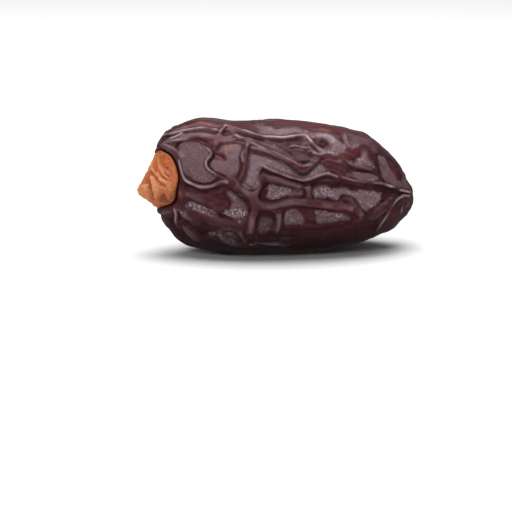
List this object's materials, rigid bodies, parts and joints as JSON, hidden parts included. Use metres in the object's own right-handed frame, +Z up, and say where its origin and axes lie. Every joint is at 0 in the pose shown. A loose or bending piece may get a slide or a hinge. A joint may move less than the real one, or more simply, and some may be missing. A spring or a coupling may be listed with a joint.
{
  "type": "dried date",
  "caption": "Whole dried date lying on its side, with deep leathery wrinkles over the fruit and a crumpled dried cap at the stem end.",
  "frame": {"origin": "bottom centre of the bounding box, on the flat spot the date rests on", "axes": "+X along the fruit from the stem end to the apex, +Y across it, +Z up"},
  "size_m": [0.0471, 0.0234, 0.0224],
  "materials": {
    "date skin": "satin",
    "dried cap": "matte"
  },
  "bodies": {
    "root": {"fruit": "date skin", "calyx": "dried cap"}
  },
  "joints": []
}
